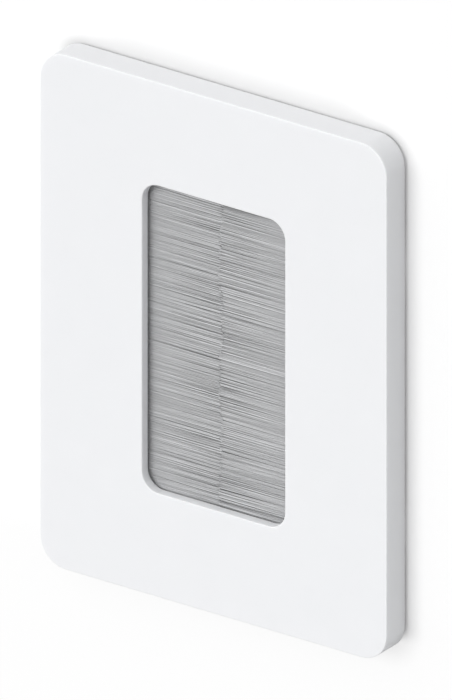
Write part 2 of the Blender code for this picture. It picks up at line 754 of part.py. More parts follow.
def build():
    clear_scene()
    white = material("white_plastic", (0.87, 0.875, 0.885), 0.5)
    hidden_white = material("sub_plate_plastic", (0.80, 0.80, 0.79), 0.6)
    zinc = material("zinc_plated_steel", (0.62, 0.63, 0.64), 0.35, 1.0)
    steel = material("bright_steel", (0.56, 0.57, 0.58), 0.3, 1.0)
    nylon = material("grey_nylon", (0.42, 0.425, 0.43), 0.5)
    fibre = material("grey_fibre", (0.25, 0.22, 0.19), 0.85)

    cover_plate(white)
    sub_plate(hidden_white)
    mounting_strap(zinc)
    for label, side in (("left", -1), ("right", 1)):
        brush_channel(f"{label}_brush_channel", side, zinc)
        core_wire(f"{label}_core_wire", side, steel)
        bristle_row(f"{label}_bristle_row", side, nylon)
        for height, end in (("lower", -1), ("upper", 1)):
            screw(
                f"{height}_{label}_brush_screw",
                (side * tab_hole_x, end * tab_hole_z),
                tab_front_y,
                (BRUSH_SCREW_HEAD_DIAMETER, BRUSH_SCREW_HEAD_HEIGHT),
                (BRUSH_SCREW_SHANK_DIAMETER, BRUSH_SCREW_LENGTH),
                steel,
                cross=True,
            )
    for height, end in (("lower", -1), ("upper", 1)):
        screw(
            f"{height}_box_screw",
            (0.0, end * box_screw_z),
            strap_front_y,
            (BOX_SCREW_HEAD_DIAMETER, BOX_SCREW_HEAD_HEIGHT),
            (BOX_SCREW_SHANK_DIAMETER, BOX_SCREW_LENGTH),
            steel,
        )
        screw(
            f"{height}_plate_screw",
            (0.0, end * plate_screw_z),
            panel_front_y,
            (PLATE_SCREW_HEAD_DIAMETER, PLATE_SCREW_HEAD_HEIGHT),
            (PLATE_SCREW_SHANK_DIAMETER, PLATE_SCREW_LENGTH),
            steel,
        )
        washer(f"{height}_screw_washer", end, fibre)


if __name__ == "__main__":
    build()
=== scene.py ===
"""Dresses the cable pass-through wall plate: its plastics, brushes, sheet steel, screws and the wall.

Every length is in metres. X runs to the right, Z up, and the plate faces -Y.
"""

from math import cos, pi, radians, sin

import bmesh
import bpy
from mathutils import Matrix, Vector


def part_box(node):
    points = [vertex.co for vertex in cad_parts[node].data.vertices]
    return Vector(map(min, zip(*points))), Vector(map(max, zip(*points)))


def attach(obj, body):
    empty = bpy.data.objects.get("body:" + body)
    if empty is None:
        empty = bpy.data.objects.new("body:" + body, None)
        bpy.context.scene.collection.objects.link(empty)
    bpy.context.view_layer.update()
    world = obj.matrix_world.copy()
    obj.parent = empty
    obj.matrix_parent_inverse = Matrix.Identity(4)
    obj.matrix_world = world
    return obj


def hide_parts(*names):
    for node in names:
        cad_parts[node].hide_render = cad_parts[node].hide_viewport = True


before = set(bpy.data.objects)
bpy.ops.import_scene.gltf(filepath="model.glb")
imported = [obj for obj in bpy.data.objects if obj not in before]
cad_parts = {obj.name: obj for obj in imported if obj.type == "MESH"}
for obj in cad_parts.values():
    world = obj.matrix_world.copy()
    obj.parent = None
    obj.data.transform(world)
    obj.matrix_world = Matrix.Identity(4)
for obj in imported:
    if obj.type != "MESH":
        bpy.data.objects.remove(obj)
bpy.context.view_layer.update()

bl_info = {
    "name": "Cable pass-through wall plate",
    "version": (1, 0, 0),
    "blender": (4, 5, 0),
    "location": "3D View > Sidebar > Wall plate",
    "description": "Builds the finished look of a brush wall plate piece by piece",
    "category": "Object",
}

MM = 0.001

# Places that the CAD parts give
FACE_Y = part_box("cover_plate")[0].y
ROW_LOW, ROW_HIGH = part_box("right_bristle_row")
CHANNEL_LOW, CHANNEL_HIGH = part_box("right_brush_channel")
HALF_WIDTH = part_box("cover_plate")[1].x
HALF_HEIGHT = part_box("cover_plate")[1].z
SUB_PLATE_HALF = (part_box("sub_plate")[1].x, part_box("sub_plate")[1].z)
STRAP_HALF = (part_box("mounting_strap")[1].x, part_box("mounting_strap")[1].z)

# Smoothing of the moulded and folded pieces
MERGE_DISTANCE = 0.001 * MM
FLAT_ANGLE = radians(0.2)
SMOOTH_ANGLE = radians(34)

# Numbers of sockets whose names other sockets of their node have too
MIX_FIRST, MIX_SECOND, MIX_RESULT = 6, 7, 2
RANDOM_LOW, RANDOM_HIGH, RANDOM_VALUE = 2, 3, 1

# Sizes of the patterns in the plastic, the zinc coat, the screws' steel and the fibre
CLOUD = 9 * MM
PLASTIC_LIGHT_DEPTH = 0.6 * MM
ROLLING_LINE = 0.12 * MM
ZINC_BLOT = 2.2 * MM
SCUFF = 0.5 * MM
ZINC_RELIEF = 0.01 * MM
TURNING_LINE = 0.08 * MM
STEEL_STAIN = 1.4 * MM
STEEL_RELIEF = 0.006 * MM
FIBRE_HAIR = 0.1 * MM
FIBRE_RELIEF = 0.04 * MM

# Radius of the plate's corners, how far the painted shade above it reaches, and the share lost at a corner
CORNER_RADIUS = 6 * MM
WALL_SHADE_REACH = 7 * MM
CORNER_REACH_LOSS = 0.6

# Greys of the wall: as the camera sees it, in the painted soft shade, as other light meets it, and painted
# dark as shade where the hole for the wall box is
WALL_WHITE = 0.99
WALL_SHADE = 0.77
WALL_BOUNCE = 0.72
HOLE_SHADE_GREY = 0.03

# The share of its own grey that the wall glows with, and the painted light added below the plate and at
# its right, which lightens the plate's shadow there
WALL_GLOW = 0.06
GLOW_BELOW = 0.66
GLOW_RIGHT = 0.18

# Where each lamp shines from
KEY_LAMP_TOWARDS = (-0.28, -1.0, 0.3)
BACK_LAMP_TOWARDS = (0.35, 0.85, 0.4)

# The line where the two rows of bristles meet, as (share of the wave's length, share of its height)
SEAM_WAVE_SHARES = ((1.0, 0.6), (0.37, 0.3), (0.13, 0.1))

# The channel's sheet and the grip gap beside it, as a share of the channel's depth
CHANNEL_SHEET_SHARE = 0.19

# From bristle to bristle the place in the row's thickness moves on by this share, and so does the depth
# from parting to parting. Past the end it starts again, which spreads both evenly. A little is random
DEPTH_STEP = 0.618034
DEPTH_JITTER = 0.01
PARTING_JITTER = 0.3

# A bristle's points crowd towards its tip, and it strays from its line, by these powers of the way along
# it. At the tip it is thinner by this share
TIP_CROWDING = 2.2
TIP_SPREAD = 1.6
TIP_TAPER = 0.25

# Streaks and partings run slantwise through a row's thickness: this far down for each step to the back
ROW_SLANT = 0.57

# Streaks of tone: their size, how far each row's are moved so that they don't run on in the other row,
# their strength, how far they wander and over what length, and where they fade towards the root
STREAK_SIZE = 0.24 * MM
ROW_SHIFT = 100 * MM
STREAK_STRENGTH = 1.55
STREAK_DRIFT = 1.5
DRIFT_SIZE = 1.5 * MM
STREAK_FADE = (3 * MM, 19 * MM)
STREAK_FADE_SHARE = 0.95

# How light a bristle is, how far single ones differ, and what is taken off as painted shade: at the root,
# in a parting and in the one above the end bundle (at the root, and more towards the tip) and at the tip,
# from this share of the length on; the bundle is also darker
TONE_MIDDLE = 0.585
TONE_SPREAD = 0.06
ROOT_SHADE = 0.03
PARTING_SHADES = (0.02, 0.5)
END_PARTING_SHADES = (0.1, 0.5)
BUNDLE_SHADE = 0.08
TIP_SHADE = 0.045
TIP_SHADE_START = 0.94

# Half the width of the parting above a row's end bundle, and the length of the passage into the bundle
END_PARTING_WIDTH = 0.22 * MM
BUNDLE_PASSAGE = 0.3 * MM

# Seeds of the rows' random patterns, how strongly each row's lower end is closed to one bundle, and the
# numbers that keep a row's random draws and its smooth noises apart from each other
ROW_SEEDS = {"left": 11, "right": 42}
ROW_END_SHARES = {"left": 0.3, "right": 1.0}
DRAWS = {"place": 1, "depth": 2, "length": 3, "stray": 4, "far stray": 5, "bow": 6, "tone": 7, "parting": 8}
NOISES = {"clump": 3.7, "lean": 9.1, "ripple": 17.3, "parting": 51.3}

# Inputs of a bristle row that are settings of the same name
SHARED_INPUTS = ("Seam Wave", "Seam Wave Length", "Tip Gap", "Tip Scatter", "Clump Size", "Clump Pull")
SHARED_INPUTS += ("Lean", "Stray", "Bow", "Parting Width", "Parting Evenness")

# Roundness of a screw, the rings of its thread in one turn, and the steps round its head's corner
SCREW_SEGMENTS = 32
RINGS_PER_TURN = 8
HEAD_CORNER_STEPS = 6

# A screw's head: where its crown's rings lie, as shares of its radius, and shares of its height
CROWN_SHARES = (0.25, 0.5, 0.68)
CROWN_DROP_SHARE = 0.12
HEAD_CORNER_SHARE = 0.42
HEAD_SHOULDER_SHARE = 0.86
HEAD_CHAMFER_SHARE = 0.04

# A thread: how steep its flanks are and how flat its crests, its depth and its point's length as shares
# of the pitch, and how far the point goes in as a share of the depth
THREAD_FLANK = 1.25
THREAD_CREST = 0.15
THREAD_DEPTH_SHARE = 0.54
POINT_LENGTH_SHARE = 1.2
POINT_DEPTH_SHARE = 1.4

# Drive slots: half the length of a long and of a cross slot, how deep they go and how far their cutters
# stand out, as shares of the head's height, and how wide the floor is as a share of the mouth
SLOT_REACH = 5 * MM
CROSS_REACH = 1.3 * MM
SLOT_DEPTH_SHARE = 0.5
SLOT_TOP_SHARE = 2
SLOT_FLOOR_SHARE = 0.9


class Wire:
    """A node's output that Python's operators extend with Math nodes."""

    def __init__(self, graph, socket):
        self.graph = graph
        self.socket = socket

    def math(self, operation, *operands):
        return self.graph.node("ShaderNodeMath", {"operation": operation}, dict(enumerate(operands)))

    def __add__(self, other):
        return self.math("ADD", self, other)

    def __radd__(self, other):
        return self.math("ADD", other, self)

    def __sub__(self, other):
        return self.math("SUBTRACT", self, other)

    def __rsub__(self, other):
        return self.math("SUBTRACT", other, self)

    def __mul__(self, other):
        return self.math("MULTIPLY", self, other)

    def __rmul__(self, other):
        return self.math("MULTIPLY", other, self)

    def __truediv__(self, other):
        return self.math("DIVIDE", self, other)

    def __rtruediv__(self, other):
        return self.math("DIVIDE", other, self)

    def __pow__(self, other):
        return self.math("POWER", self, other)

    def __rpow__(self, other):
        return self.math("POWER", other, self)

    def __mod__(self, other):
        return self.math("FLOORED_MODULO", self, other)

    def __rmod__(self, other):
        return self.math("FLOORED_MODULO", other, self)

    def __lt__(self, other):
        return self.math("LESS_THAN", self, other)

    def __gt__(self, other):
        return self.math("GREATER_THAN", self, other)

    def __abs__(self):
        return self.math("ABSOLUTE", self)

    def floor(self):
        return self.math("FLOOR", self)

    def sine(self):
        return self.math("SINE", self)

    def at_least(self, other):
        return self.math("MAXIMUM", self, other)

    def smooth_step(self, low, high):
        """0 below low, 1 above high, with a soft passage between them."""
        return self.graph.node(
            "ShaderNodeMapRange",
            {"interpolation_type": "SMOOTHSTEP"},
            {"Value": self, "From Min": low, "From Max": high},
        )


class Graph:
    """Writes nodes into one tree."""

    def __init__(self, tree):
        self.tree = tree

    def node(self, kind, settings=None, sockets=None, output=0):
        """Adds a node, makes its settings first, then fills its sockets by name or number."""
        made = self.tree.nodes.new(kind)
        for name, value in (settings or {}).items():
            setattr(made, name, value)
        for key, value in (sockets or {}).items():
            if isinstance(value, Wire):
                self.tree.links.new(value.socket, made.inputs[key])
            else:
                made.inputs[key].default_value = value
        return Wire(self, made.outputs[output]) if made.outputs else None

    def out(self, wire, output):
        """Another output of the node that a wire comes from."""
        return Wire(self, wire.socket.node.outputs[output])

    def vector(self, x, y, z):
        return self.node("ShaderNodeCombineXYZ", {}, {"X": x, "Y": y, "Z": z})

    def mix(self, factor, first, second):
        """Two colours mixed by a factor."""
        return self.node(
            "ShaderNodeMix",
            {"data_type": "RGBA"},
            {"Factor": factor, MIX_FIRST: first, MIX_SECOND: second},
            output=MIX_RESULT,
        )

    def random(self, low, high, sockets):
        """A random number between two values. The sockets give its seed and what it belongs to."""
        return self.node(
            "FunctionNodeRandomValue",
            {"data_type": "FLOAT"},
            {RANDOM_LOW: low, RANDOM_HIGH: high, **sockets},
            output=RANDOM_VALUE,
        )


def grey(value):
    return (value, value, value, 1.0)


class Surface(Graph):
    """A material made of one Principled shader and a pattern on Object coordinates."""

    def __init__(self, name, colour, roughness, metallic=0.0, specular=0.5):
        self.material = bpy.data.materials.new(name)
        self.material.use_nodes = True
        super().__init__(self.material.node_tree)
        self.shader = self.tree.nodes["Principled BSDF"]
        self.fix("Base Color", (*colour, 1.0))
        self.fix("Roughness", roughness)
        self.fix("Metallic", metallic)
        self.fix("Specular IOR Level", specular)
        self.material.diffuse_color = (*colour, 1.0)
        self.colour = colour
        self.place = self.node("ShaderNodeTexCoord", output="Object")

    def noise(self, size, stretch=(1.0, 1.0, 1.0), detail=2.0, roughness=0.5):
        """Noise whose blots are about `size` metres, drawn out along an axis by its stretch."""
        scale = tuple(1.0 / (size * longer) for longer in stretch)
        mapped = self.node("ShaderNodeMapping", {}, {"Vector": self.place, "Scale": scale})
        return self.node(
            "ShaderNodeTexNoise",
            {},
            {"Vector": mapped, "Scale": 1.0, "Detail": detail, "Roughness": roughness},
        )

    def fix(self, socket, value):
        """Gives a socket of the shader one value for the whole surface."""
        self.shader.inputs[socket].default_value = value

    def feed(self, socket, wire):
        self.tree.links.new(wire.socket, self.shader.inputs[socket])

    def shade(self, factor, darkest, lightest):
        """Base colour between two strengths of the material's own colour."""
        dark = (*(channel * darkest for channel in self.colour), 1.0)
        light = (*(min(1.0, channel * lightest) for channel in self.colour), 1.0)
        self.feed("Base Color", self.mix(factor, dark, light))

    def bump(self, height, distance, strength):
        sockets = {"Height": height, "Distance": distance, "Strength": strength}
        self.feed("Normal", self.node("ShaderNodeBump", {}, sockets))


def moulded_plastic(name, colour, roughness, grain, grain_height):
    """Injection-moulded plastic with the fine etched grain of its tool and a faint cloudiness."""
    surface = Surface(name, colour, roughness, specular=0.2)
    grain_noise = surface.noise(grain, detail=1.0)
    cloud = surface.noise(CLOUD)
    surface.shade(cloud, 0.985, 1.005)
    surface.feed("Roughness", roughness - 0.05 + 0.06 * grain_noise + 0.04 * cloud)
    surface.bump(grain_noise, grain_height, 0.35)
    surface.fix("Subsurface Weight", 0.8)
    surface.fix("Subsurface Radius", (1.0, 1.0, 1.0))
    surface.fix("Subsurface Scale", PLASTIC_LIGHT_DEPTH)
    return surface.material


def zinc_plated_sheet(name, colour):
    """Rolled strip with a thin zinc coat: fine rolling lines, soft blots and a few scuffs."""
    surface = Surface(name, colour, 0.34, metallic=1.0)
    rolling = surface.noise(ROLLING_LINE, stretch=(1.0, 1.0, 60.0))
    blots = surface.noise(ZINC_BLOT, detail=3.0, roughness=0.6)
    scuffs = surface.noise(SCUFF, stretch=(14.0, 4.0, 1.0), detail=4.0).smooth_step(0.62, 0.7)
    surface.shade(0.55 * blots + 0.3 * rolling, 0.78, 1.08)
    surface.feed("Roughness", 0.24 + 0.16 * blots + 0.08 * rolling + 0.1 * scuffs)
    surface.bump(rolling + 0.5 * scuffs, ZINC_RELIEF, 0.3)
    return surface.material


def bright_steel(name, colour):
    """Turned and rolled fastener steel with a thin plated skin."""
    surface = Surface(name, colour, 0.3, metallic=1.0)
    turning = surface.noise(TURNING_LINE, stretch=(1.0, 9.0, 1.0))
    stain = surface.noise(STEEL_STAIN, detail=3.0)
    surface.shade(stain, 0.8, 1.1)
    surface.feed("Roughness", 0.2 + 0.12 * turning + 0.14 * stain)
    surface.bump(turning, STEEL_RELIEF, 0.25)
    return surface.material


def pressed_fibre(name, colour):
    """Grey vulcanised fibre with short matted hairs."""
    surface = Surface(name, colour, 0.88, specular=0.25)
    hairs = surface.noise(FIBRE_HAIR, stretch=(7.0, 1.0, 1.0), detail=3.0, roughness=0.65)
    crossed = surface.noise(FIBRE_HAIR, stretch=(1.0, 1.0, 7.0), detail=3.0, roughness=0.65)
    matted = 0.5 * hairs + 0.5 * crossed
    surface.shade(matted, 0.55, 1.5)
    surface.feed("Roughness", 0.78 + 0.16 * matted)
    surface.bump(matted, FIBRE_RELIEF, 0.6)
    return surface.material


def bristle_nylon(name, colour, tones):
    """Grey nylon filament; each bristle keeps the tone, with painted shade, that its row stores on it."""
    surface = Surface(name, colour, 0.42)
    tone = surface.node("ShaderNodeAttribute", {"attribute_name": "bristle_tone"}, output="Fac")
    side = surface.node("ShaderNodeAttribute", {"attribute_name": "bristle_side"}, output="Fac")
    parts = surface.node("ShaderNodeSeparateXYZ", {}, {"Vector": surface.place})
    towards_root = abs(parts).smooth_step(*STREAK_FADE)
    drift = surface.noise(DRIFT_SIZE, stretch=(20.0, 2.0, 1.0), detail=0.0)
    row_place = surface.out(parts, "Z") + ROW_SLANT * surface.out(parts, "Y") + ROW_SHIFT * side
    row_place = row_place / STREAK_SIZE + STREAK_DRIFT * drift
    streaks = surface.node(
        "ShaderNodeTexNoise", {"noise_dimensions": "1D"}, {"W": row_place, "Scale": 1.0, "Detail": 0.0}
    )
    mixed = tone + STREAK_STRENGTH * (streaks - 0.5) * (1 - STREAK_FADE_SHARE * towards_root)
    darkest, lightest = tones
    surface.shade(mixed.smooth_step(-0.15, 1.0), darkest, lightest)
    surface.feed("Roughness", 0.34 + 0.2 * tone)
    return surface.material


def wall_paint(name):
    """White wall seen from the front; from behind it is clear, so the plate's back can be looked at."""
    material = bpy.data.materials.new(name)
    material.use_nodes = True
    graph = Graph(material.node_tree)
    graph.tree.nodes.remove(graph.tree.nodes["Principled BSDF"])
    output = graph.tree.nodes["Material Output"]
    place = graph.node("ShaderNodeTexCoord", output="Object")
    place = graph.node("ShaderNodeSeparateXYZ", {}, {"Vector": place})
    right, height = graph.out(place, "X"), graph.out(place, "Z")
    across, up = abs(right), abs(height)
    seen = graph.node("ShaderNodeLightPath", output="Is Camera Ray")
    behind = graph.node("ShaderNodeNewGeometry", output="Backfacing")
    under_plate = (across < SUB_PLATE_HALF[0]) * (up < SUB_PLATE_HALF[1])
    # Painted shade: the wall is dark where the wall box's hole would be
    hole_shade = (across < STRAP_HALF[0]) * (up < STRAP_HALF[1])

    # The painted soft shade above the plate, which follows its rounded corners
    corner_x = HALF_WIDTH - CORNER_RADIUS
    corner_z = HALF_HEIGHT - CORNER_RADIUS
    past_side = (across - corner_x).at_least(0.0)
    past_top = (up - corner_z).at_least(0.0)
    away = (past_side * past_side + past_top * past_top) ** 0.5 - CORNER_RADIUS
    above = height.smooth_step(corner_z, HALF_HEIGHT)
    at_corner = across.smooth_step(HALF_WIDTH - 3 * CORNER_RADIUS, HALF_WIDTH - CORNER_RADIUS / 2)
    painted_shade = above * (1 - away.smooth_step(0.0, WALL_SHADE_REACH * (1 - CORNER_REACH_LOSS * at_corner)))

    # Painted light: the wall glows, stronger below the plate and at its right, and lightens the plate's
    # shadow there
    below = (-1 * height).smooth_step(corner_z + 0.1 * CORNER_RADIUS, corner_z + 0.75 * CORNER_RADIUS)
    at_right = right.smooth_step(HALF_WIDTH, HALF_WIDTH + 0.1 * CORNER_RADIUS)
    glow_share = WALL_GLOW + GLOW_BELOW * below + GLOW_RIGHT * at_right * (1 - below)

    lit = graph.mix(painted_shade, grey(WALL_WHITE), grey(WALL_SHADE))
    colour = graph.mix(hole_shade, graph.mix(seen, grey(WALL_BOUNCE), lit), grey(HOLE_SHADE_GREY))
    paint = graph.node("ShaderNodeBsdfDiffuse", {}, {"Color": colour})
    glow = graph.node("ShaderNodeEmission", {}, {"Color": colour, "Strength": 1.0})
    paint = graph.node("ShaderNodeMixShader", {}, {0: glow_share * seen, 1: paint, 2: glow})
    clear = graph.node("ShaderNodeBsdfTransparent")
    let_through = behind.at_least(under_plate * (1 - seen))
    shader = graph.node("ShaderNodeMixShader", {}, {0: let_through, 1: paint, 2: clear})
    graph.tree.links.new(shader.socket, output.inputs["Surface"])
    return material


def link_piece(name, mesh, material):
    """A new object at the origin that holds a mesh and its one material."""
    mesh.name = name
    mesh.materials.clear()
    mesh.materials.append(material)
    piece = bpy.data.objects.new(name, mesh)
    bpy.context.scene.collection.objects.link(piece)
    return piece


def apply_modifiers(piece):
    """Turns a piece's modifiers into its plain mesh."""
    graph = bpy.context.evaluated_depsgraph_get()
    mesh = bpy.data.meshes.new_from_object(piece.evaluated_get(graph))
    piece.modifiers.clear()
    old = piece.data
    piece.data = mesh
    bpy.data.meshes.remove(old)
    mesh.name = piece.name


def fasten(piece, slot, *nodes):
    """Rides the piece on the plate in place of its CAD nodes."""
    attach(piece, "root")
    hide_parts(*nodes)


def smooth_piece(name, node, material, slot):
    """A piece with its node's exact shape, shaded smoothly where it is round and flat where it is flat."""
    builder = bmesh.new()
    builder.from_mesh(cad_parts[node].data)
    bmesh.ops.remove_doubles(builder, verts=builder.verts, dist=MERGE_DISTANCE)
    bmesh.ops.dissolve_limit(
        builder,
        angle_limit=FLAT_ANGLE,
        verts=builder.verts,
        edges=builder.edges,
        use_dissolve_boundaries=False,
    )
    mesh = bpy.data.meshes.new(name)
    builder.to_mesh(mesh)
    builder.free()
    mesh.shade_smooth()
    mesh.set_sharp_from_angle(angle=SMOOTH_ANGLE)
    piece = link_piece(name, mesh, material)
    weighted = piece.modifiers.new("Weighted normals", "WEIGHTED_NORMAL")
    weighted.keep_sharp = True
    weighted.weight = 100
    apply_modifiers(piece)
    fasten(piece, slot, node)


def geometry_tree(name, inputs):
    """A Geometry Nodes tree with one output and with named inputs, given as the names of each kind."""
    tree = bpy.data.node_groups.new(name, "GeometryNodeTree")
    tree.interface.new_socket("Geometry", in_out="OUTPUT", socket_type="NodeSocketGeometry")
    for kind, input_names in inputs.items():
        for input_name in input_names:
            tree.interface.new_socket(input_name, in_out="INPUT", socket_type=f"NodeSocket{kind}")
    return tree


def finished_tree(graph, geometry, material):
    """Ends a tree in Realize Instances and Set Material."""
    real = graph.node("GeometryNodeRealizeInstances", {}, {"Geometry": geometry})
    finished = graph.node("GeometryNodeSetMaterial", {}, {"Geometry": real, "Material": material})
    graph.node("NodeGroupOutput", {}, {"Geometry": finished})
    return graph.tree


def set_inputs(modifier, values):
    """Sets a Geometry Nodes modifier's inputs by the identifiers of their sockets."""
    for item in modifier.node_group.interface.items_tree:
        if item.in_out == "INPUT" and item.name in values:
            modifier[item.identifier] = values[item.name]


def bristle_tree():
    """Geometry Nodes: a row of loose bristles from a channel's fold to the wavy seam in the middle."""
    sizes = ("Side", "Root X", "Half Length", "Middle Y", "Half Thickness", "Tip Flare", "Bristle Diameter")
    inputs = {
        "Float": (*sizes, *SHARED_INPUTS, "End Bundle", "End Share"),
        "Int": ("Bristles", "Points Along", "Sides", "Seed"),
        "Material": ("Material",),
    }
    graph = Graph(geometry_tree("Bristle row", inputs))
    first = graph.node("NodeGroupInput")

    def given(name):
        return graph.out(first, name)

    index = graph.node("GeometryNodeInputIndex")
    strand = (index / given("Points Along")).floor()
    along = 1 - (1 - (index % given("Points Along")) / (given("Points Along") - 1)) ** TIP_CROWDING
    seed = given("Seed")

    def draw(use, low, high, owner=strand):
        """A random value that one bristle keeps along its whole length, or that another owner keeps."""
        return graph.random(low, high, {"ID": owner, "Seed": seed + DRAWS[use]})

    def field(use, size, across):
        """Smooth noise from -1 to 1 along the row, which differs a little through its thickness."""
        place = graph.vector(root_z / size, across, seed + NOISES[use])
        noise = graph.node("ShaderNodeTexNoise", {}, {"Vector": place, "Scale": 1.0, "Detail": 1.0})
        return 2 * noise - 1

    # Where each bristle starts and ends
    half = given("Half Length")
    root_z = half * (2 * (strand + draw("place", 0.0, 1.0)) / given("Bristles") - 1)
    depth = 2 * ((DEPTH_STEP * strand + draw("depth", 0.0, DEPTH_JITTER)) % 1.0) - 1
    seam = None
    for length_share, height_share in SEAM_WAVE_SHARES:
        wave = height_share * (root_z * (2 * pi / length_share) / given("Seam Wave Length")).sine()
        seam = wave if seam is None else seam + wave
    side = given("Side")
    short_of_seam = given("Tip Gap") + given("Tip Scatter") * draw("length", 0.0, 1.0) ** 2
    tip_x = given("Seam Wave") * seam + side * short_of_seam
    root_x = side * given("Root X")
    spread = along**TIP_SPREAD

    # Clumps, the dark partings between them, and the bundle at the row's lower end
    clump_size = given("Clump Size")
    slanted = root_z + ROW_SLANT * depth * given("Half Thickness")
    clump_place = slanted / clump_size + 0.45 * field("clump", 2.3 * clump_size, 0.05 * depth)
    nearest = (clump_place + 0.5).floor()
    from_parting = clump_place - nearest
    wobble = draw("parting", 0.0, PARTING_JITTER, nearest)
    depth_of_parting = ((DEPTH_STEP * nearest + wobble) % 1.0) ** given("Parting Evenness")
    end_parting = 1 - abs(root_z + given("End Bundle")).smooth_step(0.0, END_PARTING_WIDTH)
    end_parting = given("End Share") * end_parting
    parting = depth_of_parting * (1 - abs(from_parting).smooth_step(0.0, given("Parting Width")))
    unbroken = field("parting", 1.4 * clump_size, 2.4 * along).smooth_step(-0.4, 0.2)
    parting = parting * (0.15 + 0.85 * unbroken)
    bundle_start = given("End Bundle")
    in_bundle = (-1 * root_z).smooth_step(bundle_start, bundle_start + BUNDLE_PASSAGE)
    in_bundle = given("End Share") * in_bundle
    parting = parting * (1 - 0.7 * in_bundle)
    clump = given("Clump Pull") * depth_of_parting * from_parting * (1 - 2 * abs(from_parting)) * 4

    # How each bristle leaves its straight line
    lean = given("Lean") * field("lean", 9 * clump_size, 0.2 * depth)
    stray = given("Stray") * (draw("stray", -1.0, 1.0) + draw("far stray", -1.0, 1.0) ** 5)
    bow = given("Bow") * draw("bow", -1.0, 1.0) * (4 * along * (1 - along))
    tip_y = given("Half Thickness") + given("Tip Flare") * along
    ripple = 0.1 * field("ripple", 0.8 * clump_size, 0.5 * depth) + 0.7 * parting
    ripple = given("Clump Pull") * ripple
    position = graph.vector(
        root_x + (tip_x - root_x) * along,
        given("Middle Y") + depth * tip_y + spread * ripple + 0.5 * bow,
        root_z + spread * (clump + stray) + along * lean + bow,
    )
    count = given("Bristles") * given("Points Along")
    stored = graph.node("GeometryNodePoints", {}, {"Count": count, "Position": position})

    # How light it is, with painted shade in partings, at the root and at the tip, stored with its side for
    # its material
    own = draw("tone", -TONE_SPREAD, TONE_SPREAD) * (1 - 0.6 * in_bundle) * along.smooth_step(0.1, 0.8)
    tone = TONE_MIDDLE + own - ROOT_SHADE * (1 - along.smooth_step(0.0, 0.45))
    tone = tone - parting * (PARTING_SHADES[0] + PARTING_SHADES[1] * along)
    tone = tone - end_parting * (END_PARTING_SHADES[0] + END_PARTING_SHADES[1] * along)
    tone = tone - BUNDLE_SHADE * in_bundle - TIP_SHADE * along.smooth_step(TIP_SHADE_START, 1.0)
    for name, value in (("bristle_tone", tone), ("bristle_side", side)):
        stored = graph.node(
            "GeometryNodeStoreNamedAttribute",
            {"data_type": "FLOAT", "domain": "POINT"},
            {"Geometry": stored, "Name": name, "Value": value},
        )

    # From points to solid bristles
    curves = graph.node("GeometryNodePointsToCurves", {}, {0: stored, 1: strand, 2: along})
    turned = graph.node("GeometryNodeSetCurveTilt", {}, {"Curve": curves, "Tilt": (1 - side) * (pi / 2)})
    radius = 1 - TIP_TAPER * along
    tapered = graph.node("GeometryNodeSetCurveRadius", {}, {"Curve": turned, "Radius": radius})
    profile = graph.node(
        "GeometryNodeCurvePrimitiveCircle",
        {"mode": "RADIUS"},
        {"Resolution": given("Sides"), "Radius": given("Bristle Diameter") / 2},
    )
    solid = graph.node(
        "GeometryNodeCurveToMesh", {}, {"Curve": tapered, "Profile Curve": profile, "Fill Caps": True}
    )
    smooth = graph.node("GeometryNodeSetShadeSmooth", {}, {"Geometry": solid})
    return finished_tree(graph, smooth, given("Material"))


def screw_tree():
    """Geometry Nodes: one finished screw repeated at each point and turned by a random angle."""
    inputs = {"Geometry": ("Geometry",), "Object": ("Screw",), "Float": ("Turn",), "Int": ("Seed",)}
    graph = Graph(geometry_tree("Screw set", {**inputs, "Material": ("Material",)}))
    first = graph.node("NodeGroupInput")
    screw = graph.out(first, "Screw")
    screw = graph.node("GeometryNodeObjectInfo", {}, {"Object": screw}, output="Geometry")
    turn = graph.out(first, "Turn")
    angle = graph.random(-1 * turn, turn, {"Seed": graph.out(first, "Seed")})
    turned = graph.node("FunctionNodeEulerToRotation", {}, {"Euler": graph.vector(0.0, angle, 0.0)})
    placed = graph.node(
        "GeometryNodeInstanceOnPoints",
        {},
        {"Points": graph.out(first, "Geometry"), "Instance": screw, "Rotation": turned},
    )
    return finished_tree(graph, placed, graph.out(first, "Material"))


def thread_radius(angle, y, radius, depth, pitch):
    """Radius of a rolled thread: sharp-sided grooves between narrow flat crests."""
    phase = (y / pitch - angle / (2 * pi)) % 1.0
    flank = abs(2 * phase - 1)
    return radius - depth * min(1.0, max(0.0, THREAD_FLANK * flank - THREAD_CREST))


def closed_mesh(name, builder):
    """A builder's faces as a mesh, all turned outwards."""
    bmesh.ops.recalc_face_normals(builder, faces=builder.faces)
    mesh = bpy.data.meshes.new(name)
    builder.to_mesh(mesh)
    builder.free()
    return mesh


